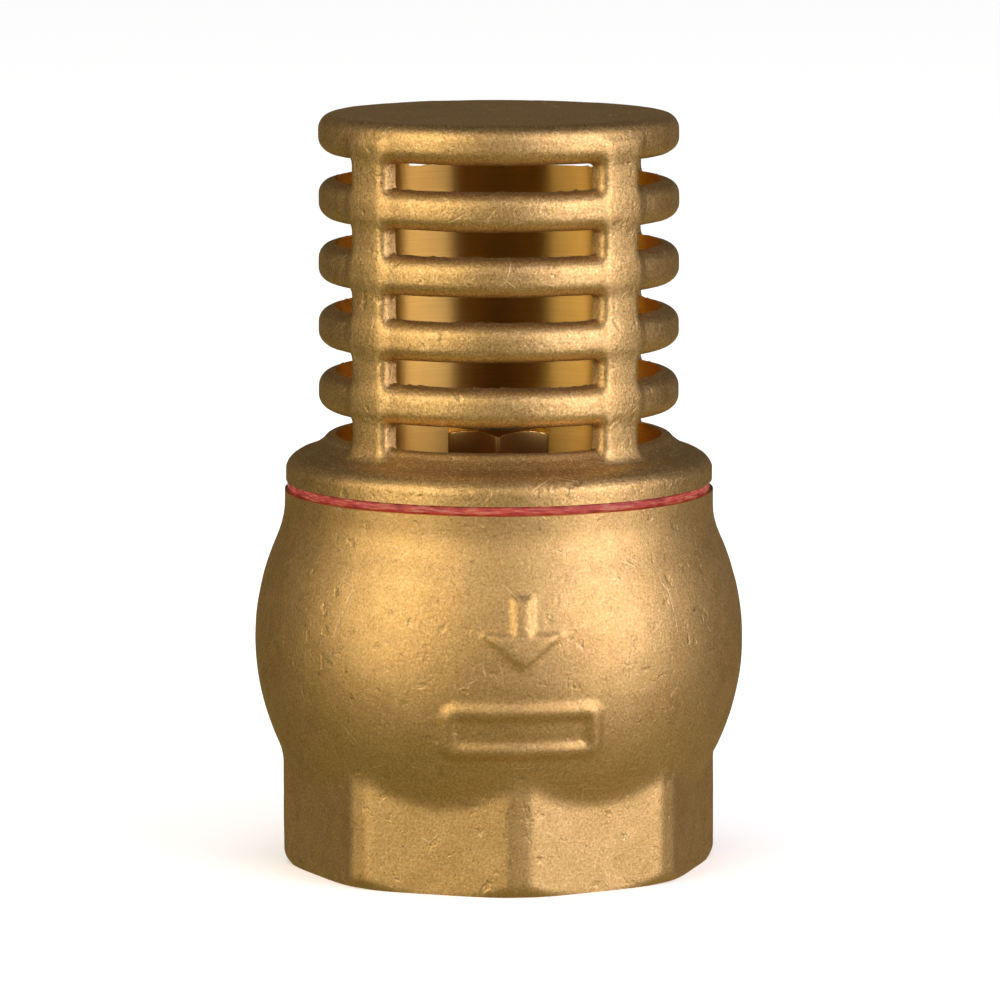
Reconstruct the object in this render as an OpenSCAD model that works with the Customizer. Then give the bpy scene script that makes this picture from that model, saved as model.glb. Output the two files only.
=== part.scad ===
// Spring-loaded foot valve for a suction pipe, in cast brass with a screwed-in strainer.
// Everything is in millimetres. The threaded outlet face lies at z = 0 and the strainer
// points up along +Z, so the disc opens downwards, away from its seat.

/* [Outlet end] */
// Width across the flats of the octagonal wrench end
flats_w = 69.4; // [60:0.5:90]
// Width of the small flat that breaks each octagon corner
corner_flat = 3.4; // [0:0.1:6]
// Radius of the female outlet thread at its crests
outlet_r = 28.33; // [20:0.01:35]
// Depth of the outlet thread
outlet_depth = 19; // [10:0.5:26]
// How far the body is screwed round relative to the strainer
body_turn = 6.5; // [0:0.5:45]

/* [Globe and collar] */
// Outer radius of the globe
globe_r = 41.5; // [36:0.1:50]
// Height of the globe's centre
globe_z = 38.3; // [30:0.1:45]
// Inner radius of the globe
chamber_r = 37; // [32:0.1:44]
// Radius of the collar that the strainer screws into
collar_r = 36.4; // [34:0.1:42]
// Height of the collar's top face
collar_top = 63.4; // [55:0.1:70]
// Height of the raised marks above the globe
mark_height = 0.7; // [0.3:0.1:1.5]

/* [Strainer] */
// Radius of the flange that clamps the gasket
flange_r = 36.2; // [33:0.1:42]
// Thickness of the gasket
gasket_t = 1.5; // [0.5:0.1:3]
// Outer radius of the slotted cage
cage_r = 30.5; // [26:0.1:34]
// Inner radius of the slotted cage
cage_bore_r = 27.6; // [22:0.1:31]
// Number of rings between the slots
ring_count = 4; // [1:1:5]
// Height of each ring
ring_h = 6; // [3:0.1:8]
// Height of the lowest ring's middle
first_ring_z = 80.95; // [76:0.05:84]
// Distance from one ring to the next
ring_pitch = 10.83; // [8:0.01:14]
// Height of the strainer's closed top
top_z = 127.7; // [110:0.1:140]
// Height of the underside of the closed top
cap_z = 121.2; // [105:0.1:135]
// Half of the angle that each post covers
post_half_angle = 8.2; // [5:0.1:20]

/* [Poppet] */
// How far the disc lifts off its seat
lift = 8; // [4:0.5:9]
// Radius of the water way through the seat
seat_r = 24.4; // [18:0.1:26]
// Height of the seat lip that the seal closes against
seat_z = 42.8; // [40:0.1:44]
// Radius of the disc
disc_r = 29.2; // [26:0.1:30]
// Radius of the stem, with its M10 ends
stem_r = 5; // [3:0.1:6]
// Width across the flats of both nuts
nut_flats = 17; // [13:0.5:19]

/* [Spring] */
// Diameter of the spring wire
wire_d = 1.1; // [0.8:0.1:1.4]
// Mean radius of the coils
coil_r = 8.2; // [7.6:0.1:9]
// Number of coils, with one closed coil at each end
coils = 4.75; // [4:0.25:5]

/* [Hidden] */
$fn = 96;

eps = 0.01;
fit = 0.05;              // radial gap of a close fit
assembled_fit = 0.02;    // radial gap between pieces that are screwed together

flange_z = collar_top + gasket_t;
neck_end_z = 50.8;       // lower end of the strainer's threaded neck
neck_r = 31.95;
ledge_z = 58.9;          // step that the seat guide stops at inside the neck
spigot_r = 29.15;
groove_z = 53.9;         // middle of the O-ring groove
rib_z = 47.3;            // underside of the seat guide's ribs
spring_z = 51.3;         // lower end of the spring
spring_top = 65.1;       // upper end of the spring, with the valve shut
collar_t = 1.5;
washer_t = 2;
seal_t = 3;
seal_inner_r = 12.05;
seal_outer_r = 28;
retainer_t = 1.2;
disc_bottom = 36.8;      // underside of the disc's boss
disc_nut_h = 5;
stem_nut_h = 6;
stem_low = 28.8;
stem_high = 75.4;
lip_top = 73.3;          // lower edge of the lowest slots

brass_cast = [0.72, 0.55, 0.30];
brass_turned = [0.80, 0.64, 0.34];
steel = [0.72, 0.73, 0.75];
rubber = [0.10, 0.10, 0.10];
fibre = [0.72, 0.25, 0.22];
plastic = [0.88, 0.87, 0.83];

// Points of a rounded corner, from angle a0 to a1 about (cx, cz)
function corner(cx, cz, r, a0, a1, steps = 5) =
    [for (i = [0 : steps])
        let (a = a0 + (a1 - a0) * i / steps)
        [cx + r * cos(a), cz + r * sin(a)]];

module ring(r_in, r_out, z, h) {
    translate([0, 0, z]) difference() {
        cylinder(r = r_out, h = h);
        translate([0, 0, -1]) cylinder(r = r_in, h = h + 2);
    }
}

// ---- body ----

// Octagon with a small flat at each corner, and a corner towards -Y
module octagon_2d() {
    half = flats_w / 2;
    side = half * tan(22.5) - corner_flat / 2 / cos(22.5);
    polygon([for (k = [0 : 7]) for (s = [-1, 1])
        let (a = k * 45 + 22.5)
        [half * cos(a) - s * side * sin(a), half * sin(a) + s * side * cos(a)]]);
}

module wrench_end() {
    h = 31;
    edge_r = flats_w / 2 / cos(22.5) - 1.9;
    intersection() {
        linear_extrude(height = h) octagon_2d();
        rotate_extrude() polygon([[0, 0], [edge_r, 0], [edge_r + 2, 2], [edge_r + 2, h], [0, h]]);
    }
}

// The globe, cut short of the outlet face and of the collar's top
module globe() {
    intersection() {
        translate([0, 0, globe_z]) sphere(r = globe_r);
        translate([0, 0, 5]) cylinder(r = globe_r + 1, h = collar_top - 8);
    }
}

// Arrow that shows the way the water flows, drawn upright in the XY plane
module flow_arrow_2d() {
    polygon([[-1.5, 5.7], [1.5, 5.7], [1.5, -0.2], [6.6, -0.2], [0, -5.7], [-6.6, -0.2], [-1.5, -0.2]]);
}

module cut_corner_rect(w, h, c) {
    polygon([
        [-w / 2 + c, -h / 2], [w / 2 - c, -h / 2], [w / 2, -h / 2 + c], [w / 2, h / 2 - c],
        [w / 2 - c, h / 2], [-w / 2 + c, h / 2], [-w / 2, h / 2 - c], [-w / 2, -h / 2 + c]
    ]);
}

// Empty frame where a size could be cast
module blank_frame_2d() {
    difference() {
        cut_corner_rect(26.4, 8.8, 2);
        cut_corner_rect(22.4, 4.8, 0.8);
    }
}

// One set of marks, raised from the globe's -Y side
module raised_marks() {
    intersection() {
        translate([0, 0, globe_z]) sphere(r = globe_r + mark_height);
        union() {
            translate([0, -30, 45.1]) rotate([90, 0, 0]) linear_extrude(height = 15) flow_arrow_2d();
            translate([0, -30, 28.5]) rotate([90, 0, 0]) linear_extrude(height = 15) blank_frame_2d();
        }
    }
}

module body_cavity() {
    chamber_floor = outlet_depth + 2;
    mouth_r = outlet_r + 1.9;
    translate([0, 0, -1]) cylinder(r = outlet_r, h = chamber_floor + 5);
    translate([0, 0, -eps]) cylinder(r1 = mouth_r, r2 = outlet_r, h = 1.9);
    translate([0, 0, outlet_depth]) cylinder(r = mouth_r, h = 3);
    translate([0, 0, 45]) cylinder(r = neck_r + fit, h = collar_top);
    intersection() {
        translate([0, 0, globe_z]) sphere(r = chamber_r);
        rotate_extrude() polygon([
            [0, chamber_floor], [40, chamber_floor], [40, 44.8], [neck_r, 52.3], [0, 52.3]
        ]);
    }
}

module valve_body() {
    color(brass_cast) rotate([0, 0, body_turn]) difference() {
        union() {
            globe();
            wrench_end();
            translate([0, 0, 45]) cylinder(r = collar_r, h = collar_top - 45.5);
            translate([0, 0, collar_top - 0.5]) cylinder(r1 = collar_r, r2 = collar_r - 0.5, h = 0.5);
            raised_marks();
            rotate([0, 0, 180]) raised_marks();
        }
        body_cavity();
    }
}

// ---- strainer ----

// Height of the lower and the upper edge of slot level i
function slot_low(i) = i == 0 ? lip_top : first_ring_z + (i - 1) * ring_pitch + ring_h / 2;
function slot_high(i) = i == ring_count ? cap_z - 0.4 : first_ring_z + i * ring_pitch - ring_h / 2;

module strainer_blank() {
    waist_r = cage_r - 0.08;
    neck = [[0, neck_end_z], [neck_r - 0.6, neck_end_z], [neck_r, neck_end_z + 0.6],
            [neck_r, collar_top - 0.4], [neck_r - 0.8, collar_top], [neck_r - 0.8, flange_z]];
    flange = [[flange_r - 0.4, flange_z], [flange_r, flange_z + 0.4], [flange_r, 67.6], [flange_r - 0.35, 68.5],
              [flange_r - 1, 69.4], [flange_r - 2.1, 70.1], [31.8, 70.9], [cage_r, 71.6]];
    cage = [for (i = [0 : ring_count]) each [
        [waist_r, (slot_low(i) + slot_high(i)) / 2],
        if (i < ring_count) [cage_r, first_ring_z + i * ring_pitch]
    ]];
    cap = corner(cage_r - 2.8, top_z - 2.8, 2.8, 0, 90);
    rotate_extrude() polygon(concat(neck, flange, cage, cap, [[0, top_z]]));
}

// One ring of four slots, whose edges open outwards so that the rings come out rounded
module slot_level(z0, z1) {
    span = 90 - 2 * post_half_angle;
    flare = 1.65;
    out_r = cage_r + 0.3;
    for (k = [0 : 3]) {
        rotate([0, 0, 90 * k - span / 2]) rotate_extrude(angle = span) polygon([
            [cage_bore_r - 2, z0], [cage_r - 1.5, z0], [cage_r - 0.5, z0 - 0.28 * flare],
            [out_r, z0 - flare], [out_r, z1 + flare],
            [cage_r - 0.5, z1 + 0.28 * flare], [cage_r - 1.5, z1], [cage_bore_r - 2, z1]
        ]);
    }
}

module strainer() {
    color(brass_cast) difference() {
        strainer_blank();
        translate([0, 0, ledge_z]) cylinder(r = cage_bore_r, h = cap_z - ledge_z);
        translate([0, 0, neck_end_z - 1]) cylinder(r = spigot_r + fit, h = ledge_z - neck_end_z + 1);
        for (i = [0 : ring_count]) {
            slot_level(slot_low(i), slot_high(i));
        }
    }
}

module flange_gasket() {
    color(fibre) ring(neck_r + 0.15, flange_r - 0.2, collar_top, gasket_t);
}

// ---- seat and guide, screwed into the strainer's neck ----

module seat_ring() {
    wall_r = 26.2;
    rotate_extrude() polygon([
        [seat_r, seat_z], [seat_r + 2, seat_z], [seat_r + 2.4, seat_z + 0.8], [28.2, seat_z + 0.8],
        [31, rib_z - 0.5], [31, neck_end_z], [spigot_r, neck_end_z], [spigot_r, groove_z - 1.1],
        [27.6, groove_z - 1.1], [27.6, groove_z + 1.1], [spigot_r, groove_z + 1.1], [spigot_r, ledge_z - 0.1],
        [wall_r, ledge_z - 0.1], [wall_r, ledge_z - 5.1], [seat_r, ledge_z - 6.9]
    ]);
}

module seat_guide() {
    color(brass_turned) difference() {
        union() {
            seat_ring();
            translate([0, 0, rib_z]) cylinder(r = coil_r + 2.2, h = spring_z - rib_z);
            for (k = [0 : 2]) {
                rotate([0, 0, 120 * k + 90]) translate([8, -1.6, rib_z])
                    cube([seat_r - 7.2, 3.2, spring_z - rib_z - 0.5]);
            }
        }
        translate([0, 0, rib_z - 1]) cylinder(r = 6.5 + assembled_fit, h = 10);
        for (k = [0 : 3]) {
            rotate([0, 0, 90 * k + 45]) translate([29.4, -2, seat_z]) cube([3, 4, 6.4]);
        }
    }
}

module seat_o_ring() {
    color(rubber) translate([0, 0, groove_z]) rotate_extrude() translate([28.4, 0]) circle(r = 0.78);
}

// Plain bearing for the stem, whose upper end also centres the spring
module guide_bush() {
    color(plastic) difference() {
        union() {
            translate([0, 0, rib_z - 1]) cylinder(r = 8.2, h = 1);
            translate([0, 0, rib_z - 0.5]) cylinder(r = 6.5, h = 7.6);
            translate([0, 0, rib_z + 7.1]) cylinder(r1 = 6.5, r2 = 6.0, h = 1);
        }
        translate([0, 0, rib_z - 2]) cylinder(r = stem_r + fit, h = 12);
    }
}

// ---- poppet ----

module stem() {
    shoulder_z = seat_z + retainer_t;
    color(steel) rotate_extrude() polygon([
        [0, stem_low], [stem_r - 0.8, stem_low], [stem_r, stem_low + 0.8], [stem_r, shoulder_z - 1.2],
        [stem_r - 0.6, shoulder_z - 1.0], [stem_r - 0.6, shoulder_z], [7.1, shoulder_z], [7.5, shoulder_z + 0.4],
        [7.5, shoulder_z + 1.3], [7.1, shoulder_z + 1.7], [stem_r, shoulder_z + 1.7],
        [stem_r, stem_high - 0.8], [stem_r - 0.8, stem_high], [0, stem_high]
    ]);
}

module poppet_disc() {
    boss_r = 11.2;
    color(brass_turned) union() {
        rotate_extrude() polygon([
            [stem_r + assembled_fit, disc_bottom], [boss_r - 0.8, disc_bottom], [boss_r, disc_bottom + 0.8],
            [boss_r + 0.6, disc_bottom + 1.4], [disc_r - 1, disc_bottom + 1.8], [disc_r, disc_bottom + 2.6],
            [disc_r, seat_z - 1.1], [disc_r - 0.4, seat_z - 0.7], [seal_outer_r + fit, seat_z - 0.7],
            [seal_outer_r + fit, seat_z - seal_t], [seal_inner_r - fit, seat_z - seal_t],
            [seal_inner_r - fit, seat_z], [stem_r + assembled_fit, seat_z]
        ]);
        for (k = [0 : 5]) {
            rotate([0, 0, 60 * k]) translate([0, 1.2, 0]) rotate([90, 0, 0]) linear_extrude(height = 2.4)
                polygon([[9, disc_bottom + 0.6], [14, disc_bottom + 0.6], [25.5, disc_bottom + 1.5],
                         [25.5, disc_bottom + 2.4], [9, disc_bottom + 2.4]]);
        }
    }
}

module disc_seal() {
    color(rubber) ring(seal_inner_r, seal_outer_r, seat_z - seal_t, seal_t);
}

module seal_retainer() {
    color(steel) rotate_extrude() polygon([
        [stem_r + assembled_fit, seat_z], [22.8, seat_z], [22.8, seat_z + retainer_t - 0.5],
        [22.3, seat_z + retainer_t], [stem_r + assembled_fit, seat_z + retainer_t]
    ]);
}

// Split spring washer, pressed flat
module lock_washer(z) {
    color(steel) difference() {
        ring(stem_r + 0.15, 8.9, z, washer_t);
        translate([6.9, 0, z + washer_t / 2]) rotate([25, 0, 0]) cube([6, 0.8, 6], center = true);
    }
}

// Hexagon nut with chamfered corners, standing on z with a corner towards -Y
module hex_nut(z, h) {
    corner_r = nut_flats / 2 / cos(30);
    face_r = nut_flats / 2 - 0.3;
    color(brass_turned) translate([0, 0, z]) difference() {
        intersection() {
            rotate([0, 0, 30]) cylinder(r = corner_r, h = h, $fn = 6);
            rotate_extrude() polygon([
                [0, 0], [face_r, 0], [corner_r + 0.3, 1], [corner_r + 0.3, h - 1], [face_r, h], [0, h]
            ]);
        }
        translate([0, 0, -1]) cylinder(r = stem_r + assembled_fit, h = h + 2);
        translate([0, 0, h - 0.7]) cylinder(r1 = stem_r + assembled_fit, r2 = stem_r + 0.8, h = 0.71);
    }
}

module disc_lock_washer() {
    lock_washer(disc_bottom - washer_t);
}

module disc_nut() {
    hex_nut(disc_bottom - washer_t - disc_nut_h, disc_nut_h);
}

// Height of the wire's centre after t coils: closed ends with an open pitch between them
function coil_z(t) =
    let (
        closed = wire_d + 0.08,
        low = spring_z + wire_d / 2,
        high = spring_top - wire_d / 2,
        open = (high - low - 2 * closed) / (coils - 2)
    )
    t < 1 ? low + closed * t
    : t > coils - 1 ? high - closed * (coils - t)
    : low + closed + open * (t - 1);

module return_spring() {
    sides = 10;
    per_coil = 28;
    steps = coils * per_coil;
    points = [for (i = [0 : steps]) for (j = [0 : sides - 1])
        let (
            a = 360 * i / per_coil,
            b = 360 * j / sides,
            r = coil_r + wire_d / 2 * cos(b)
        )
        [r * cos(a), r * sin(a), coil_z(i / per_coil) + wire_d / 2 * sin(b)]];
    skin = [for (i = [0 : steps - 1]) for (j = [0 : sides - 1])
        let (k = (j + 1) % sides)
        each [
            [i * sides + j, i * sides + k, (i + 1) * sides + k],
            [i * sides + j, (i + 1) * sides + k, (i + 1) * sides + j]
        ]];
    first_end = [for (j = [0 : sides - 1]) sides - 1 - j];
    last_end = [for (j = [0 : sides - 1]) steps * sides + j];
    color(steel) polyhedron(points = points, faces = concat(skin, [first_end, last_end]));
}

module spring_collar() {
    color(steel) rotate_extrude() polygon([
        [stem_r + assembled_fit, spring_top - 1], [6.9, spring_top - 1], [7.3, spring_top - 0.6],
        [7.3, spring_top], [9.6, spring_top], [10, spring_top + 0.4], [10, spring_top + collar_t],
        [stem_r + assembled_fit, spring_top + collar_t]
    ]);
}

module stem_lock_washer() {
    rotate([0, 0, 200]) lock_washer(spring_top + collar_t);
}

module stem_nut() {
    hex_nut(spring_top + collar_t + washer_t, stem_nut_h);
}

valve_body();
strainer();
flange_gasket();
seat_guide();
seat_o_ring();
guide_bush();
stem();
poppet_disc();
disc_seal();
seal_retainer();
disc_lock_washer();
disc_nut();
return_spring();
spring_collar();
stem_lock_washer();
stem_nut();
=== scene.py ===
"""Looks of the foot valve: detailed castings, machined faces, materials, floor, light and camera."""
import math

import bpy
import numpy as np
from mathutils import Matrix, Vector

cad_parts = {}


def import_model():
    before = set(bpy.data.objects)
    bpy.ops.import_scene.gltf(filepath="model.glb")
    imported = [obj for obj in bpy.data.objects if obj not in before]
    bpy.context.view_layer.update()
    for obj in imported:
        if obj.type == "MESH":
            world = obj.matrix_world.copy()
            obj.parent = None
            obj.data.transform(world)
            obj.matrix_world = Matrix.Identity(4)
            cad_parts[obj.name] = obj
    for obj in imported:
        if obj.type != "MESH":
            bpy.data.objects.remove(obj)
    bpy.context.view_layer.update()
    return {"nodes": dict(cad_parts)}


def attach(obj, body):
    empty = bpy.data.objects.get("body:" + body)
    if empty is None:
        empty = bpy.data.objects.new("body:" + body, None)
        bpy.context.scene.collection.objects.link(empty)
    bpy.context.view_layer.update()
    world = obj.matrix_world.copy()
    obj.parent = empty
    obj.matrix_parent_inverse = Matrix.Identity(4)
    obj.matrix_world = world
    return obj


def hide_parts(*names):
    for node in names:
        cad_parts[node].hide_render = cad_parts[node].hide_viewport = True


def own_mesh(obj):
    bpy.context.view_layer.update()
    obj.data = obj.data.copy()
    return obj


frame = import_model()

MM = 0.001
BODY = "valve"
POPPET = "poppet"

# Sizes in millimetres. They follow the CAD model, except that the collar's top and the flange stand
# 0.5 and 0.6 mm higher, and that the cage's posts are parallel-sided and turned a little.
BODY_TURN = math.radians(6.5)
FLATS_W, CORNER_FLAT = 69.4, 36.8
GLOBE_R, GLOBE_Z = 41.5, 38.3
CHAMBER_R = 37.0
COLLAR_R, COLLAR_TOP = 36.4, 63.9
EDGE_R = 35.7
MARK_Z, MARK_HEIGHT = (45.1, 28.5), 0.65
FLANGE_Z, FLANGE_R = 65.5, 36.2
CAGE_R, CAGE_BORE_R = 30.5, 27.6
RING_Z = (80.95, 91.78, 102.61, 113.44)
RING_H = 6.0
CAP_Z, TOP_Z = 121.2, 127.7
RING_MIDDLE_R = 20
POST_HALF = 4.1
CAGE_TURN = math.radians(1.1)
LIP_TOP = 73.3
NECK_R, NECK_END = 31.95, 50.8
LEDGE_Z = 58.9
COUNTERBORE_R = 29.2
TOP_BORE_R, TOP_BORE_END = 32.0, 52.3
RELIEF_R, RELIEF_LOW, RELIEF_HIGH = 30.2, 18.9, 21
CHAMBER_FLOOR_R = 32.9
THREAD_MINOR, THREAD_MAJOR, THREAD_PITCH = 28.33, 29.81, 2.309
THREAD_END = 19.0
STEM_R, STEM_LOW, STEM_HIGH = 5.0, 28.8, 75.4
STEM_THREAD_PITCH, STEM_THREAD_DEPTH = 1.5, 0.85
NUT_FLATS, NUT_CORNER_R = 17.0, 9.74
DISC_NUT_Z, STEM_NUT_Z = (29.8, 34.8), (68.6, 74.6)
SPRING_Z, SPRING_TOP = 51.3, 65.1
COIL_R, WIRE_R, COILS = 8.2, 0.55, 4.75

# A radius outside every piece
OUTSIDE = 50

# Spacing of the points on the castings
GRID = 0.57


# ---------------------------------------------------------------- field helpers

def smooth_min(a, b, k):
    """The smaller of a and b, blended where they differ by less than k."""
    h = np.clip(0.5 + 0.5 * (b - a) / k, 0, 1)
    return b * (1 - h) + a * h - k * h * (1 - h)


def smooth_max(a, b, k):
    return -smooth_min(-a, -b, k)


def rounded_box(u, v, cu, cv, hu, hv, rounding):
    """Distance in a plane to a box with rounded corners, centred on (cu, cv)."""
    du = np.abs(u - cu) - (hu - rounding)
    dv = np.abs(v - cv) - (hv - rounding)
    outside = np.hypot(np.maximum(du, 0), np.maximum(dv, 0))
    return outside + np.minimum(np.maximum(du, dv), 0) - rounding


def polygon_distance(u, v, points):
    """Signed distance in a plane to a closed polygon."""
    best = np.full(np.broadcast(u, v).shape, 1e9)
    inside = np.zeros(best.shape, bool)
    count = len(points)
    for i in range(count):
        (u0, v0), (u1, v1) = points[i], points[(i + 1) % count]
        eu, ev = u1 - u0, v1 - v0
        t = np.clip(((u - u0) * eu + (v - v0) * ev) / (eu * eu + ev * ev), 0, 1)
        best = np.minimum(best, (u - u0 - t * eu) ** 2 + (v - v0 - t * ev) ** 2)
        if v0 != v1:
            crosses = ((v0 > v) != (v1 > v)) & (u < (u1 - u0) * (v - v0) / (v1 - v0) + u0)
            inside ^= crosses
    return np.where(inside, -1, 1) * np.sqrt(best)


def lattice_noise(p, cell, seed):
    """Smooth noise from -1 to 1 at the points p, with features about one cell across."""
    size = 32
    table = np.random.RandomState(seed).uniform(-1, 1, (size, size, size))
    q = p / cell + 100.0
    whole = np.floor(q).astype(int)
    f = q - whole
    f = f * f * (3 - 2 * f)
    total = np.zeros(len(p))
    for corner in range(8):
        bits = np.array([corner & 1, corner >> 1 & 1, corner >> 2 & 1])
        weight = np.prod(np.where(bits, f, 1 - f), axis=1)
        i = (whole + bits) % size
        total += weight * table[i[:, 0], i[:, 1], i[:, 2]]
    return total


# ---------------------------------------------------------------- mesh helpers

CORNERS = [(i, j, k) for i in (0, 1) for j in (0, 1) for k in (0, 1)]


def crossing_points(f, cells):
    """The mean of the points where the surface crosses each cell's edges, counted in cells."""
    total, count = np.zeros((len(cells), 3)), np.zeros(len(cells))
    for axis in range(3):
        along = np.eye(3, dtype=int)[axis]
        for corner in CORNERS:
            if corner[axis]:
                continue
            a = cells + corner
            b = a + along
            fa, fb = f[tuple(a.T)], f[tuple(b.T)]
            crosses = (fa < 0) != (fb < 0)
            t = np.where(crosses, fa / np.where(crosses, fa - fb, 1), 0)
            total += crosses[:, None] * (np.array(corner) + t[:, None] * along)
            count += crosses
    return cells + total / count[:, None]


def crossing_quads(solid, index):
    """A quad between the four cells round each grid edge that the surface crosses."""
    quads = []
    for axis in range(3):
        u, v = [i for i in range(3) if i != axis]
        lead = [slice(1, -1)] * 3
        lead[axis] = slice(0, -1)
        ahead = list(lead)
        ahead[axis] = slice(1, None)
        first, second = solid[tuple(lead)], solid[tuple(ahead)]
        edges = np.argwhere(first != second) + [0 if i == axis else 1 for i in range(3)]
        step_u, step_v = np.eye(3, dtype=int)[u], np.eye(3, dtype=int)[v]
        ring = [edges - step_u - step_v, edges - step_v, edges, edges - step_u]
        quad = np.stack([index[tuple(c.T)] for c in ring], axis=1)
        outward = solid[tuple(edges.T)] ^ (axis == 1)
        quads.append(np.where(outward[:, None], quad, quad[:, ::-1]))
    return np.concatenate(quads)


def surface_net(field, low, high, step):
    """Points and quads of the zero surface of field(x, y, z), in millimetres."""
    axes = [np.arange(a, b + step, step) for a, b in zip(low, high)]
    nx, ny, nz = (len(a) for a in axes)
    f = np.empty((nx, ny, nz), np.float32)
    y, z = axes[1][None, :, None], axes[2][None, None, :]
    layers = 16
    for start in range(0, nx, layers):
        x = axes[0][start:start + layers, None, None]
        f[start:start + layers] = field(x, y, z)
    solid = f < 0
    inside = np.zeros((nx - 1, ny - 1, nz - 1), np.int8)
    for i, j, k in CORNERS:
        inside += solid[i:nx - 1 + i, j:ny - 1 + j, k:nz - 1 + k]
    active = (inside > 0) & (inside < len(CORNERS))
    cells = np.argwhere(active)
    index = np.full(active.shape, -1, np.int32)
    index[active] = np.arange(len(cells))
    points = crossing_points(f, cells) * step + [a[0] for a in axes]
    return points, crossing_quads(solid, index)


def gradient(field, p, h=0.05):
    """The field's slope at the points p, from differences over h each way."""
    g = np.empty_like(p)
    for axis in range(3):
        d = np.zeros(3)
        d[axis] = h
        g[:, axis] = (field(*(p + d).T) - field(*(p - d).T)) / (2 * h)
    return g


def cast_surface(field, low, high, step, roughen):
    """Points and quads drawn onto the field's surface, then moved along its normals by roughen."""
    points, quads = surface_net(field, low, high, step)
    for _ in range(2):
        g = gradient(field, points)
        points -= (field(*points.T) / np.sum(g * g, axis=1))[:, None] * g
    g = gradient(field, points)
    normals = g / np.linalg.norm(g, axis=1)[:, None]
    return points + roughen(points)[:, None] * normals, quads


def cast_unevenness(p):
    """How far a cast skin stands off its ideal surface, in millimetres."""
    broad = lattice_noise(p, 11.0, 3) * 0.06
    lumps = lattice_noise(p, 4.2, 5) * 0.04
    fine = lattice_noise(p, 1.7, 7) * 0.015
    return broad + lumps + fine - 0.04


def mesh_object(name, points, faces, material=None):
    """A mesh object from millimetre points and a list of face arrays, with smooth faces."""
    arrays = faces if isinstance(faces, list) else [faces]
    sizes = np.concatenate([np.full(len(a), a.shape[1]) for a in arrays])
    loops = np.concatenate([a.ravel() for a in arrays]).astype(np.int32)
    starts = np.concatenate([[0], np.cumsum(sizes)[:-1]]).astype(np.int32)
    me = bpy.data.meshes.new(name)
    me.vertices.add(len(points))
    me.vertices.foreach_set("co", (np.asarray(points) * MM).astype(np.float32).ravel())
    me.loops.add(len(loops))
    me.loops.foreach_set("vertex_index", loops)
    me.polygons.add(len(sizes))
    me.polygons.foreach_set("loop_start", starts)
    me.polygons.foreach_set("use_smooth", np.ones(len(sizes), bool))
    me.update(calc_edges=True)
    me.validate()
    if material:
        me.materials.append(material)
    obj = bpy.data.objects.new(name, me)
    bpy.context.scene.collection.objects.link(obj)
    return obj


def grid_faces(rows, cols, wrap_rows=False):
    """Quads of a grid whose columns close round, and whose rows may."""
    r = np.arange(rows if wrap_rows else rows - 1)[:, None]
    c = np.arange(cols)[None, :]
    r1, c1 = (r + 1) % rows, (c + 1) % cols
    quad = [r * cols + c, r * cols + c1, r1 * cols + c1, r1 * cols + c]
    return np.stack([np.broadcast_to(q, (r.shape[0], cols)).ravel() for q in quad], axis=1)


def turned(name, profile, material, segments=192, radius_of=None):
    """A closed solid of revolution. profile lists (radius, z) anticlockwise from its lowest axis point;
    a profile that starts and ends on the axis is capped there, and any other closes on itself."""
    profile = np.array(profile, float)
    capped = profile[0, 0] == 0 and profile[-1, 0] == 0
    rows = profile[1:-1] if capped else profile
    angle = np.linspace(0, 2 * math.pi, segments, endpoint=False)
    r = rows[:, :1] * np.ones(segments)
    z = rows[:, 1:] * np.ones(segments)
    if radius_of:
        r = radius_of(r, z, angle[None, :] * np.ones_like(r))
    points = np.stack([r * np.cos(angle), r * np.sin(angle), z], axis=2).reshape(-1, 3)
    faces = [grid_faces(len(rows), segments, wrap_rows=not capped)]
    if capped:
        points = np.vstack([points, [0, 0, profile[0, 1]], [0, 0, profile[-1, 1]]])
        low, high = len(points) - 2, len(points) - 1
        c = np.arange(segments)
        c1 = (c + 1) % segments
        last = (len(rows) - 1) * segments
        faces.append(np.stack([np.full(segments, low), c1, c], axis=1))
        faces.append(np.stack([np.full(segments, high), last + c, last + c1], axis=1))
    return mesh_object(name, points, faces, material)


def subdivided(profile, longest):
    """The profile with its long segments split, so that a turned face has rows of its own."""
    out = [profile[0]]
    for (r0, z0), (r1, z1) in zip(profile, profile[1:]):
        count = max(1, math.ceil(math.hypot(r1 - r0, z1 - z0) / longest))
        out += [(r0 + (r1 - r0) * i / count, z0 + (z1 - z0) * i / count) for i in range(1, count + 1)]
    return out


def combine(obj, other, operation):
    """obj after a boolean with other, which is then deleted. Faces keep their own material."""
    for material in other.data.materials:
        if material.name not in obj.data.materials:
            obj.data.materials.append(material)
    mod = obj.modifiers.new("combine", "BOOLEAN")
    mod.operation, mod.object, mod.solver = operation, other, "MANIFOLD"
    result = bpy.data.meshes.new_from_object(obj.evaluated_get(bpy.context.evaluated_depsgraph_get()))
    obj.modifiers.clear()
    old = obj.data
    result.name = old.name
    obj.data = result
    bpy.data.meshes.remove(old)
    bpy.data.objects.remove(other)
    return obj


def cut_away(obj, profile, material, longest=2.0, segments=256):
    """obj less a solid of revolution, which leaves its material on the faces that it cuts."""
    cutter = turned("cut", subdivided(profile, longest), material, segments)
    return combine(obj, cutter, "DIFFERENCE")


def smooth_to(obj, degrees):
    """Smooth faces, with a hard edge wherever the surface turns by more than that."""
    obj.data.polygons.foreach_set("use_smooth", np.ones(len(obj.data.polygons), bool))
    obj.data.set_sharp_from_angle(angle=math.radians(degrees))
    return obj


def place(obj, body, slot, *nodes):
    """obj on that body, and the CAD nodes that it stands for hidden. slot is not used."""
    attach(obj, body)
    if nodes:
        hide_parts(*nodes)
    return obj


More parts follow.
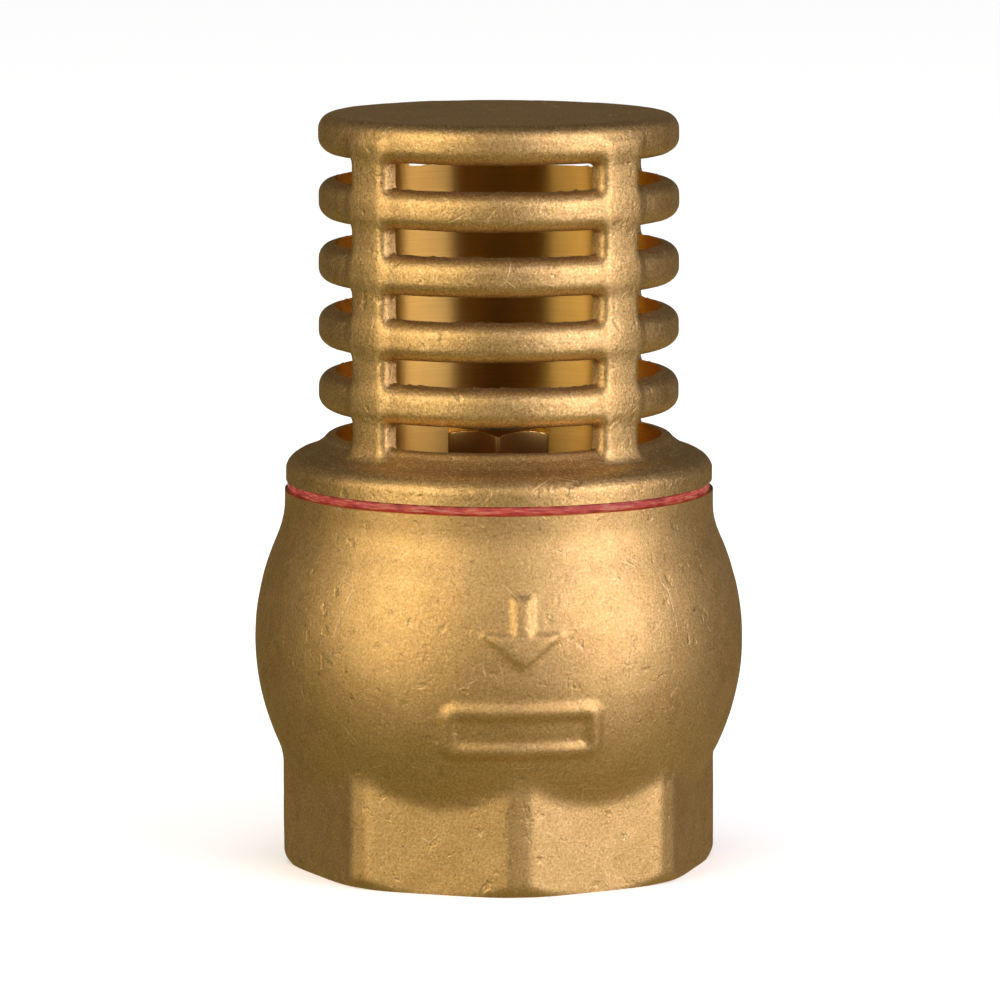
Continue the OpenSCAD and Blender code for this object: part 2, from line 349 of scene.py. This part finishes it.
# ---------------------------------------------------------------- materials

def node_material(name):
    """A new material with its nodes, its links and its main shader."""
    mat = bpy.data.materials.new(name)
    mat.use_nodes = True
    tree = mat.node_tree
    return mat, tree.nodes, tree.links, tree.nodes["Principled BSDF"]


def millimetres(nodes, links):
    """Object coordinates scaled to millimetres."""
    coords = nodes.new("ShaderNodeTexCoord")
    scale = nodes.new("ShaderNodeVectorMath")
    scale.operation = "SCALE"
    scale.inputs["Scale"].default_value = 1000
    links.new(coords.outputs["Object"], scale.inputs[0])
    return scale.outputs[0]


def noise(nodes, links, vector, scale, detail=4.0, roughness=0.55):
    """Noise from 0 to 1, with about scale features to a unit of vector."""
    n = nodes.new("ShaderNodeTexNoise")
    n.inputs["Scale"].default_value = scale
    n.inputs["Detail"].default_value = detail
    n.inputs["Roughness"].default_value = roughness
    links.new(vector, n.inputs["Vector"])
    return n.outputs["Fac"]


def ramp(nodes, links, fac, stops):
    """A colour ramp from (position, colour) stops."""
    r = nodes.new("ShaderNodeValToRGB")
    elements = r.color_ramp.elements
    while len(elements) < len(stops):
        elements.new(0.5)
    for element, (position, color) in zip(elements, stops):
        element.position = position
        element.color = (*color, 1)
    links.new(fac, r.inputs[0])
    return r.outputs[0]


def span(nodes, links, value, low, high, from_low=0.0, from_high=1.0):
    """low to high as the value goes from from_low to from_high, and no further."""
    m = nodes.new("ShaderNodeMapRange")
    m.inputs["From Min"].default_value = from_low
    m.inputs["From Max"].default_value = from_high
    m.inputs["To Min"].default_value = low
    m.inputs["To Max"].default_value = high
    links.new(value, m.inputs["Value"])
    return m.outputs["Result"]


def mix_color(nodes, links, fac, a, b, blend="MIX"):
    """Colour a turning into b as fac goes from 0 to 1. Each may be a value or a socket."""
    m = nodes.new("ShaderNodeMix")
    m.data_type = "RGBA"
    m.blend_type = blend
    for socket, value in (("Factor", fac), ("A", a), ("B", b)):
        kind = "VALUE" if socket == "Factor" else "RGBA"
        target = [s for s in m.inputs if s.name == socket and s.type == kind][0]
        if isinstance(value, bpy.types.NodeSocket):
            links.new(value, target)
        else:
            target.default_value = value if socket == "Factor" else (*value, 1)
    return [s for s in m.outputs if s.type == "RGBA"][0]


def bump(nodes, links, height, distance, strength=1.0, normal=None):
    """A normal that follows the height, whose full range is distance in metres."""
    b = nodes.new("ShaderNodeBump")
    b.inputs["Distance"].default_value = distance
    b.inputs["Strength"].default_value = strength
    links.new(height, b.inputs["Height"])
    if normal:
        links.new(normal, b.inputs["Normal"])
    return b.outputs[0]


def facing_up(nodes, links, low, high):
    """0 to 1 as the surface turns from upright to face upwards."""
    geometry = nodes.new("ShaderNodeNewGeometry")
    split = nodes.new("ShaderNodeSeparateXYZ")
    links.new(geometry.outputs["Normal"], split.inputs[0])
    return span(nodes, links, split.outputs["Z"], 0.0, 1.0, low, high)


def scratches(nodes, links, vector):
    """0 to 0.8 on fine straight scratches a few millimetres long, running in all directions."""
    cells = nodes.new("ShaderNodeTexVoronoi")
    cells.feature = "DISTANCE_TO_EDGE"
    cells.inputs["Scale"].default_value = 0.10
    links.new(vector, cells.inputs["Vector"])
    lines = span(nodes, links, cells.outputs["Distance"], 0.8, 0.0, 0.0, 0.014)
    broken = span(nodes, links, noise(nodes, links, vector, 0.2, 2), 0.0, 1.0, 0.56, 0.65)
    both = nodes.new("ShaderNodeMath")
    both.operation = "MULTIPLY"
    links.new(lines, both.inputs[0])
    links.new(broken, both.inputs[1])
    return both.outputs[0]


def cast_color(nodes, links, vector, grain, scores, coarse):
    """Brass that drifts in colour, with stains, painted shade on its tops, pits, glints, dirt specks and
    scratches.
    """
    drift = noise(nodes, links, vector, 0.07, 3)
    color = ramp(nodes, links, drift, [(0.35, (0.75, 0.49, 0.18)), (0.65, (0.80, 0.535, 0.21))])
    stains = span(nodes, links, noise(nodes, links, vector, 0.13, 6, 0.65), 0.0, 0.45, 0.56, 0.72)
    color = mix_color(nodes, links, stains, color, (0.48, 0.27, 0.11))
    # Painted shade: the colour darkens, a little towards blue, where the surface faces upwards.
    painted_top_shade = facing_up(nodes, links, 0.35, 0.95)
    color = mix_color(nodes, links, painted_top_shade, color, (0.68, 0.68, 0.74), "MULTIPLY")
    pits = span(nodes, links, grain, 0.0, 0.55 + 0.2 * coarse, 0.50, 0.66)
    color = mix_color(nodes, links, pits, color, (0.36, 0.21, 0.07))
    glints = span(nodes, links, grain, 0.62 + 0.2 * coarse, 0.0, 0.34, 0.47)
    color = mix_color(nodes, links, glints, color, (1.0, 0.78, 0.42))
    specks = span(nodes, links, noise(nodes, links, vector, 0.5, 4, 0.75), 0.0, 0.6, 0.635, 0.72)
    color = mix_color(nodes, links, specks, color, (0.16, 0.10, 0.05))
    return mix_color(nodes, links, scores, color, (0.95, 0.72, 0.38))


def cast_relief(nodes, links, vector, grain, scores, coarse):
    """The normal of a shot-blasted skin: its grain, low lumps, shallow dents and scratches."""
    fine = bump(nodes, links, grain, 0.00006, 0.9)
    lumps = noise(nodes, links, vector, 0.9, 2)
    lumpy = bump(nodes, links, lumps, 0.00003 + 0.00005 * coarse, 1.0, fine)
    dents = span(nodes, links, noise(nodes, links, vector, 0.4, 2), 1.0, 0.0, 0.62, 0.74)
    dented = bump(nodes, links, dents, 0.00007, 1.0, lumpy)
    return bump(nodes, links, scores, -0.000035, 1.0, dented)


def cast_brass(name, coarse):
    """Shot-blasted cast brass. coarse goes from 0, a fine grain, to 1, a stronger one."""
    mat, nodes, links, shader = node_material(name)
    vector = millimetres(nodes, links)
    grain = noise(nodes, links, vector, 2.6, 4, 0.75)
    scores = scratches(nodes, links, vector)
    color = cast_color(nodes, links, vector, grain, scores, coarse)
    links.new(color, shader.inputs["Base Color"])
    shader.inputs["Metallic"].default_value = 1
    patches = noise(nodes, links, vector, 0.35, 3)
    middle = 0.535 - 0.04 * coarse
    roughness = span(nodes, links, patches, middle - 0.03, middle + 0.03, 0.3, 0.7)
    links.new(roughness, shader.inputs["Roughness"])
    normal = cast_relief(nodes, links, vector, grain, scores, coarse)
    links.new(normal, shader.inputs["Normal"])
    return mat


def turned_brass():
    """Machined brass, whose fine turning grooves spread its reflections along the axis."""
    mat, nodes, links, shader = node_material("turned_brass")
    vector = millimetres(nodes, links)
    stretch = nodes.new("ShaderNodeMapping")
    stretch.inputs["Scale"].default_value = (0.05, 0.05, 6.0)
    links.new(vector, stretch.inputs["Vector"])
    lines = noise(nodes, links, stretch.outputs[0], 1.0, 6, 0.65)
    color = ramp(nodes, links, lines, [(0.3, (0.76, 0.465, 0.105)), (0.7, (0.90, 0.585, 0.165))])
    links.new(color, shader.inputs["Base Color"])
    shader.inputs["Metallic"].default_value = 1
    links.new(span(nodes, links, lines, 0.32, 0.40), shader.inputs["Roughness"])
    shader.inputs["Anisotropic"].default_value = 0.96
    shader.inputs["Anisotropic Rotation"].default_value = 0.25
    tangent = nodes.new("ShaderNodeTangent")
    tangent.direction_type, tangent.axis = "RADIAL", "Z"
    links.new(tangent.outputs[0], shader.inputs["Tangent"])
    links.new(bump(nodes, links, lines, 0.00001, 0.4), shader.inputs["Normal"])
    return mat


def plain_metal(name, color, roughness):
    """Bare metal with faint marks in its colour and its gloss."""
    mat, nodes, links, shader = node_material(name)
    vector = millimetres(nodes, links)
    marks = noise(nodes, links, vector, 1.5, 5)
    links.new(mix_color(nodes, links, marks, color, [c * 0.85 for c in color]), shader.inputs["Base Color"])
    shader.inputs["Metallic"].default_value = 1
    links.new(span(nodes, links, marks, roughness - 0.05, roughness + 0.08), shader.inputs["Roughness"])
    links.new(bump(nodes, links, marks, 0.00001, 0.5), shader.inputs["Normal"])
    return mat


def plain_matte(name, color, roughness):
    """Rubber or plastic with faint marks in its colour and its gloss."""
    mat, nodes, links, shader = node_material(name)
    vector = millimetres(nodes, links)
    marks = noise(nodes, links, vector, 1.2, 5)
    links.new(mix_color(nodes, links, marks, color, [c * 0.75 for c in color]), shader.inputs["Base Color"])
    links.new(span(nodes, links, marks, roughness - 0.08, roughness + 0.08), shader.inputs["Roughness"])
    links.new(bump(nodes, links, marks, 0.00003, 0.5), shader.inputs["Normal"])
    return mat


def red_fibre():
    """Pressed red fibre, rubbed and smeared along its rim."""
    mat, nodes, links, shader = node_material("red_fibre")
    vector = millimetres(nodes, links)
    smear = nodes.new("ShaderNodeMapping")
    smear.inputs["Scale"].default_value = (0.35, 0.35, 2.5)
    links.new(vector, smear.inputs["Vector"])
    rubbed = noise(nodes, links, smear.outputs[0], 1.0, 5, 0.7)
    stops = [(0.36, (0.16, 0.012, 0.007)), (0.5, (0.34, 0.026, 0.014)), (0.66, (0.37, 0.155, 0.09))]
    color = ramp(nodes, links, rubbed, stops)
    links.new(color, shader.inputs["Base Color"])
    shader.inputs["Roughness"].default_value = 0.6
    links.new(bump(nodes, links, rubbed, 0.00012, 0.8), shader.inputs["Normal"])
    return mat


CAST = cast_brass("cast_brass", 0.0)
CAST_COARSE = cast_brass("cast_brass_coarse", 1.0)
TURNED = turned_brass()
MILLED = plain_metal("milled_brass", (0.78, 0.50, 0.16), 0.2)
STEEL = plain_metal("stainless_steel", (0.62, 0.62, 0.60), 0.28)
RUBBER = plain_matte("black_rubber", (0.02, 0.02, 0.02), 0.6)
FIBRE = red_fibre()
PLASTIC = plain_matte("white_plastic", (0.75, 0.74, 0.68), 0.45)


# ---------------------------------------------------------------- body casting

def octagon_distance(x, y):
    """Distance to the octagon, whose corners are flattened. One of them is BODY_TURN from -Y."""
    angle = np.arctan2(y, x)
    r = np.hypot(x, y)
    sector = math.pi / 4
    corner = -math.pi / 2 + BODY_TURN
    off = np.abs((angle - corner + sector / 2) % sector - sector / 2)
    near = r * np.cos(sector / 2 - off) - FLATS_W / 2
    far = r * np.cos(sector / 2 + off) - FLATS_W / 2
    corner_flat = r * np.cos(off) - CORNER_FLAT
    return smooth_max(smooth_max(near, far, 0.3), corner_flat, 0.35)


# The arrow's outline, and the half sizes and the corner rounding of the frame's two edges
ARROW = [(-1.5, 5.7), (1.5, 5.7), (1.5, -0.2), (6.6, -0.2), (0, -5.7), (-6.6, -0.2), (-1.5, -0.2)]
FRAME_OUTER = 13.2, 4.4, 2.0
FRAME_INNER = 11.2, 2.4, 0.8


def marks_distance(x, y, z):
    """Distance to the raised arrow and the empty frame, on the globe's front and back."""
    c, s = math.cos(BODY_TURN), math.sin(BODY_TURN)
    u = x * c + y * s
    depth = -x * s + y * c
    u = np.where(depth > 0, -u, u)
    arrow = polygon_distance(u, z - MARK_Z[0], ARROW)
    outer = rounded_box(u, z, 0, MARK_Z[1], *FRAME_OUTER)
    inner = rounded_box(u, z, 0, MARK_Z[1], *FRAME_INNER)
    plan = np.minimum(arrow, np.maximum(outer, -inner)) - 0.1
    skin = np.sqrt(x * x + y * y + (z - GLOBE_Z) ** 2) - GLOBE_R
    return smooth_max(smooth_max(plan, skin - MARK_HEIGHT, 1.2), -skin - 2, 0.5)


def body_field(x, y, z):
    """Distance to the outside of the body casting, before anything is cut out of it."""
    globe = np.sqrt(x * x + y * y + (z - GLOBE_Z) ** 2) - GLOBE_R
    wrench = smooth_max(octagon_distance(x, y), z - 32, 1.0)
    r = np.hypot(x, y)
    edge = (r - EDGE_R - z) / math.sqrt(2)
    collar = np.maximum(r - COLLAR_R, 40 - z)
    solid = smooth_min(globe, smooth_max(wrench, edge, 0.8), 1.0)
    solid = smooth_min(solid, collar, 1.6)
    solid = smooth_min(solid, marks_distance(x, y, z), 0.9)
    return np.maximum(np.maximum(solid, -3 - z), z - 66)


def thread_radius(r, z, angle):
    """The outlet cutter's radius: a helical thread that fades out at both ends."""
    turn = (z / THREAD_PITCH - angle / (2 * math.pi)) % 1.0
    height = np.clip(1.5 - 3.2 * np.abs(turn - 0.5), 0, 1)
    height = height * height * (3 - 2 * height)
    start = np.clip((z + 1) / 1.5, 0, 1)
    stop = np.clip((THREAD_END - z) / 1.5, 0, 1)
    depth = (THREAD_MAJOR - THREAD_MINOR) * height * np.minimum(start, stop)
    return np.where(r > 1, THREAD_MINOR + depth, r)


def thread_cutter():
    """The space inside the outlet's thread."""
    rows = [(0, -2)] + [(THREAD_MINOR, z) for z in np.arange(-2, 20.01, 0.24)] + [(0, 20)]
    return turned("cut", rows, TURNED, 192, thread_radius)


def chamber_profile():
    """The relief above the outlet's thread, the round chamber, and the way up into the top bore."""
    arc = [(math.sqrt(CHAMBER_R ** 2 - (z - GLOBE_Z) ** 2), z) for z in np.arange(22.0, 46.4, 1.0)]
    relief = [(0, RELIEF_LOW), (RELIEF_R, RELIEF_LOW), (RELIEF_R, RELIEF_HIGH)]
    top = [(TOP_BORE_R, TOP_BORE_END + 0.1), (0, TOP_BORE_END + 0.1)]
    return relief + [(CHAMBER_FLOOR_R, RELIEF_HIGH)] + arc + top


def valve_body():
    """The body casting, turned at both ends and hollow between them."""
    points, quads = cast_surface(body_field, (-44, -44, -4), (44, 44, 67), GRID, cast_unevenness)
    body = mesh_object("valve_body_casting", points, quads, CAST)
    outlet_face = [(0, -8), (OUTSIDE, -8), (OUTSIDE, 0), (30.3, 0), (28.2, 2.1), (0, 2.1)]
    cut_away(body, outlet_face, TURNED)
    top_bore = [(0, TOP_BORE_END), (TOP_BORE_R, TOP_BORE_END), (TOP_BORE_R, COLLAR_TOP),
                (OUTSIDE, COLLAR_TOP), (OUTSIDE, 70), (0, 70)]
    cut_away(body, top_bore, TURNED)
    combine(body, thread_cutter(), "DIFFERENCE")
    cut_away(body, chamber_profile(), CAST)
    smooth_to(body, 32)
    return place(body, BODY, "cast_brass", "valve_body")


# ---------------------------------------------------------------- strainer casting

FLANGE_PROFILE = [
    (20, 61), (FLANGE_R, 61), (FLANGE_R, 67.8), (35.85, 68.6), (35.15, 69.4), (34.0, 70.15),
    (31.7, 70.95), (29.9, 72.2), (29.1, 73.1), (28.7, LIP_TOP), (20, LIP_TOP),
]


def burr_height(angle, r, z):
    """Small ragged burrs that the boring tool left along the rings' inner edges."""
    s = angle * CAGE_BORE_R
    p = np.stack([s.ravel(), z.ravel(), np.zeros(s.size)], axis=1)
    ragged = np.maximum(lattice_noise(p, 0.9, 31) - 0.1, 0).reshape(s.shape)
    return 0.45 * ragged * np.clip((28.1 - r) / 0.4, 0, 1)


def cage_field(x, y, z):
    """Distance to the strainer's cage and flange, before they are bored out and cut flat below."""
    x, y, z = np.broadcast_arrays(x, y, z)
    r = np.hypot(x, y)
    angle = np.arctan2(y, x)
    off = (angle + CAGE_TURN) % (math.pi / 2) - math.pi / 4
    post = smooth_max(np.abs(r * np.sin(off)) - POST_HALF - 0.04 * (CAGE_R - r), r - CAGE_R, 1.4)
    post = np.maximum(post, np.maximum(z - (CAP_Z + 3), 62 - z))
    half = RING_H / 2 + 0.3 - 0.12 * (r - CAGE_BORE_R)
    burrs = burr_height(angle, r, z)
    rings = []
    for ring_z in RING_Z:
        ragged_half = half + np.where(z > ring_z, burrs, 0.1)
        rings.append(rounded_box(r, z, RING_MIDDLE_R, ring_z - 0.1, CAGE_R - RING_MIDDLE_R, ragged_half, 2.2))
    cap = rounded_box(r, z, 0, (CAP_Z - 0.2 + TOP_Z) / 2, CAGE_R, (TOP_Z - CAP_Z + 0.2) / 2, 2.7)
    flange = polygon_distance(r, z, FLANGE_PROFILE)
    bars = np.minimum.reduce([*rings, cap, flange])
    return smooth_min(bars, post, 0.5 + 0.5 * np.clip(r - 28, 0, 2.5))


def strainer():
    """The strainer casting on its turned neck, bored out from below."""
    points, quads = cast_surface(cage_field, (-38, -38, 59), (38, 38, 130), GRID, cast_unevenness)
    part = mesh_object("strainer_casting", points, quads, CAST_COARSE)
    cut_away(part, [(0, 50), (OUTSIDE, 50), (OUTSIDE, FLANGE_Z), (0, FLANGE_Z)], TURNED)
    neck = [(0, NECK_END), (31.4, NECK_END), (NECK_R, NECK_END + 0.6), (NECK_R, 63.0),
            (31.15, COLLAR_TOP), (31.15, FLANGE_Z + 1), (0, FLANGE_Z + 1)]
    combine(part, turned("neck", subdivided(neck, 2.0), TURNED, 256), "UNION")
    bore = [(0, LEDGE_Z), (CAGE_BORE_R, LEDGE_Z), (CAGE_BORE_R, CAP_Z - 0.6), (27.0, CAP_Z), (0, CAP_Z)]
    cut_away(part, bore, TURNED, 1.5, 288)
    counterbore = [(0, 48), (COUNTERBORE_R, 48), (COUNTERBORE_R, LEDGE_Z), (0, LEDGE_Z)]
    cut_away(part, counterbore, TURNED, 1.5)
    smooth_to(part, 32)
    return place(part, BODY, "cast_brass", "strainer")


# ---------------------------------------------------------------- small pieces

def gasket():
    """The fibre ring, with an uneven rim."""
    def ragged(r, z, angle):
        p = np.stack([r * np.cos(angle), r * np.sin(angle), z], axis=-1).reshape(-1, 3)
        return r + 0.12 * lattice_noise(p, 3.0, 21).reshape(r.shape) * (r > 34)
    z0, z1 = COLLAR_TOP, FLANGE_Z
    rim = [(35.6, z0), (35.8, z0 + 0.3), (35.85, z0 + 0.75), (35.8, z1 - 0.3), (35.6, z1)]
    profile = [(32.1, z0), *rim, (32.1, z1)]
    ring = turned("flange_gasket_ring", profile, FIBRE, 720, ragged)
    smooth_to(ring, 50)
    return place(ring, BODY, "red_fibre", "flange_gasket")


def nut(name, z_range, node):
    """A hexagon nut with turned chamfers, a corner towards -Y and a countersunk hole."""
    z0, z1 = z_range

    def hexagon(r, z, angle):
        off = (angle + math.pi / 2 + math.pi / 6) % (math.pi / 3) - math.pi / 6
        side = np.minimum(NUT_FLATS / 2 / np.cos(math.pi / 6 - np.abs(off)), NUT_CORNER_R)
        chamfer = NUT_FLATS / 2 - 0.3 + 1.75 * np.minimum(z - z0, z1 - z)
        return np.where(r > 6, np.minimum(np.minimum(side, chamfer), r), r)
    rows = np.concatenate([np.arange(0, 1.2, 0.08), np.arange(1.2, (z1 - z0) / 2, 0.4)])
    outer = [(11, z0 + d) for d in rows] + [(11, z1 - d) for d in rows[::-1]]
    inner = [(STEM_R + 0.7, z1), (STEM_R + 0.02, z1 - 0.7), (STEM_R + 0.02, z0)]
    piece = turned(name, outer + inner, MILLED, 288, hexagon)
    smooth_to(piece, 25)
    return place(piece, POPPET, "turned_brass", node)


def stem():
    """The stem, with its shoulder and an M10 thread at each end."""
    low_thread_end, high_thread_start = 36.6, 67.0

    def threaded(r, z, angle):
        turn = np.abs((z / STEM_THREAD_PITCH - angle / (2 * math.pi)) % 1.0 - 0.5) * 2
        on_thread = (np.abs(r - STEM_R) < 0.01) & ((z < low_thread_end) | (z > high_thread_start))
        return np.where(on_thread, r - STEM_THREAD_DEPTH * np.clip(1.15 - turn * 1.3, 0, 1), r)
    foot = [(0, STEM_LOW), (3.9, STEM_LOW), (4.3, STEM_LOW + 0.3)]
    low = [(STEM_R, z) for z in np.arange(STEM_LOW + 0.8, 42.6, 0.15)]
    shoulder = [(4.4, 43.1), (4.4, 44.0), (7.1, 44.0), (7.5, 44.4), (7.5, 45.3), (7.1, 45.7), (STEM_R, 45.7)]
    high = [(STEM_R, z) for z in np.arange(45.9, STEM_HIGH - 0.75, 0.15)]
    head = [(4.3, STEM_HIGH - 0.3), (3.9, STEM_HIGH), (0, STEM_HIGH)]
    piece = turned("stem_rod", foot + low + shoulder + high + head, STEEL, 96, threaded)
    smooth_to(piece, 40)
    return place(piece, POPPET, "stainless_steel", "stem")


def return_spring():
    """A round-wire coil with closed ends."""
    sides, steps_per_turn = 20, 72
    turns = np.linspace(0, COILS, int(COILS * steps_per_turn) + 1)
    closed = 2 * WIRE_R + 0.08
    low, high = SPRING_Z + WIRE_R, SPRING_TOP - WIRE_R
    height = np.interp(turns, [0, 1, COILS - 1, COILS], [low, low + closed, high - closed, high])[:, None]
    angle = 2 * math.pi * turns[:, None]
    around = np.linspace(0, 2 * math.pi, sides, endpoint=False)[None, :]
    r = COIL_R + WIRE_R * np.cos(around)
    points = np.stack([r * np.cos(angle), r * np.sin(angle), height + WIRE_R * np.sin(around)], axis=2)
    rows = len(turns)
    wall = grid_faces(rows, sides)[:, ::-1]
    ends = np.array([np.arange(sides)[::-1], np.arange(sides) + (rows - 1) * sides])
    coil = mesh_object("return_spring_coil", points.reshape(-1, 3), [wall, ends], STEEL)
    smooth_to(coil, 50)
    place(coil, BODY, "stainless_steel", "return_spring")
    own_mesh(coil)
    return coil


def carried_over():
    """The CAD pieces that are shown as they are, each in its own material."""
    looks = {
        "seat_guide": TURNED, "seat_o_ring": RUBBER, "guide_bush": PLASTIC, "poppet_disc": TURNED,
        "disc_seal": RUBBER, "seal_retainer": STEEL, "disc_lock_washer": STEEL, "spring_collar": STEEL,
        "stem_lock_washer": STEEL,
    }
    for node, material in looks.items():
        me = frame["nodes"][node].data
        me.materials.clear()
        me.materials.append(material)


valve_body()
strainer()
gasket()
nut("stem_nut_hexagon", STEM_NUT_Z, "stem_nut")
nut("disc_nut_hexagon", DISC_NUT_Z, "disc_nut")
stem()
return_spring()
carried_over()


# ---------------------------------------------------------------- floor, light and camera

def studio():
    """A pale floor that glows a little, and that the brass doesn't reflect."""
    half = 6
    corners = [(-half, -half, 0), (half, -half, 0), (half, half, 0), (-half, half, 0)]
    me = bpy.data.meshes.new("floor")
    me.from_pydata(corners, [], [(0, 1, 2, 3)])
    floor = bpy.data.objects.new("floor", me)
    bpy.context.scene.collection.objects.link(floor)
    mat, nodes, links, shader = node_material("pale_floor")
    shader.inputs["Base Color"].default_value = (0.93, 0.93, 0.93, 1)
    shader.inputs["Emission Color"].default_value = (1, 1, 1, 1)
    shader.inputs["Emission Strength"].default_value = 0.08
    shader.inputs["Roughness"].default_value = 0.9
    me.materials.append(mat)
    floor.visible_glossy = False


def softbox(name, azimuth, elevation, distance, width, height, power, color):
    """An area light aimed at the valve's middle. Azimuth is counted from the camera's side."""
    light = bpy.data.lights.new(name, "AREA")
    light.shape = "RECTANGLE"
    light.size, light.size_y = width, height
    light.energy, light.color = power, color
    obj = bpy.data.objects.new(name, light)
    bpy.context.scene.collection.objects.link(obj)
    a, e = math.radians(azimuth), math.radians(elevation)
    middle = Vector((0, 0, 0.06))
    away = Vector((math.sin(a) * math.cos(e), -math.cos(a) * math.cos(e), math.sin(e)))
    obj.location = middle + distance * away
    obj.rotation_euler = away.to_track_quat("Z", "Y").to_euler()
    return obj


def camera():
    """A long lens, 1.1 m away and a little above the valve. aside trims the framing."""
    distance, height = 1.1, 0.2128
    turn, tilt, aside = math.radians(0.9), 0.1365, 0.00019
    data = bpy.data.cameras.new("camera")
    data.sensor_width, data.lens = 36, 235.2
    data.clip_start, data.clip_end = 0.05, 50
    obj = bpy.data.objects.new("camera", data)
    bpy.context.scene.collection.objects.link(obj)
    obj.location = (distance * math.sin(turn), -distance * math.cos(turn), height)
    obj.rotation_euler = (math.radians(90) - tilt, 0, turn - aside)
    bpy.context.scene.camera = obj


def world():
    """A white room for matte surfaces. Metal sees it dark above and lit like a floor below."""
    w = bpy.data.worlds.new("world")
    bpy.context.scene.world = w
    w.use_nodes = True
    nodes, links = w.node_tree.nodes, w.node_tree.links
    background = nodes["Background"]
    coords = nodes.new("ShaderNodeTexCoord")
    split = nodes.new("ShaderNodeSeparateXYZ")
    links.new(coords.outputs["Generated"], split.inputs[0])
    below = span(nodes, links, split.outputs["Z"], 1.0, 0.0, -0.65, -0.02)
    to_right = span(nodes, links, split.outputs["X"], 0.0, 1.0, -0.6, 0.6)
    ground = mix_color(nodes, links, to_right, (0.17, 0.15, 0.05), (0.30, 0.25, 0.125))
    seen = mix_color(nodes, links, below, (0.032, 0.027, 0.022), ground)
    path = nodes.new("ShaderNodeLightPath")
    color = mix_color(nodes, links, path.outputs["Is Glossy Ray"], (1.0, 1.0, 1.0), seen)
    links.new(color, background.inputs["Color"])


studio()
softbox("left_light", -49, 20, 1.3, 0.95, 1.5, 13.4, (1.0, 0.88, 0.72))
softbox("right_light", 54, 15, 1.3, 0.92, 1.5, 17.4, (0.95, 0.89, 1.0))
camera()
world()
bpy.context.scene.view_settings.view_transform = "Standard"
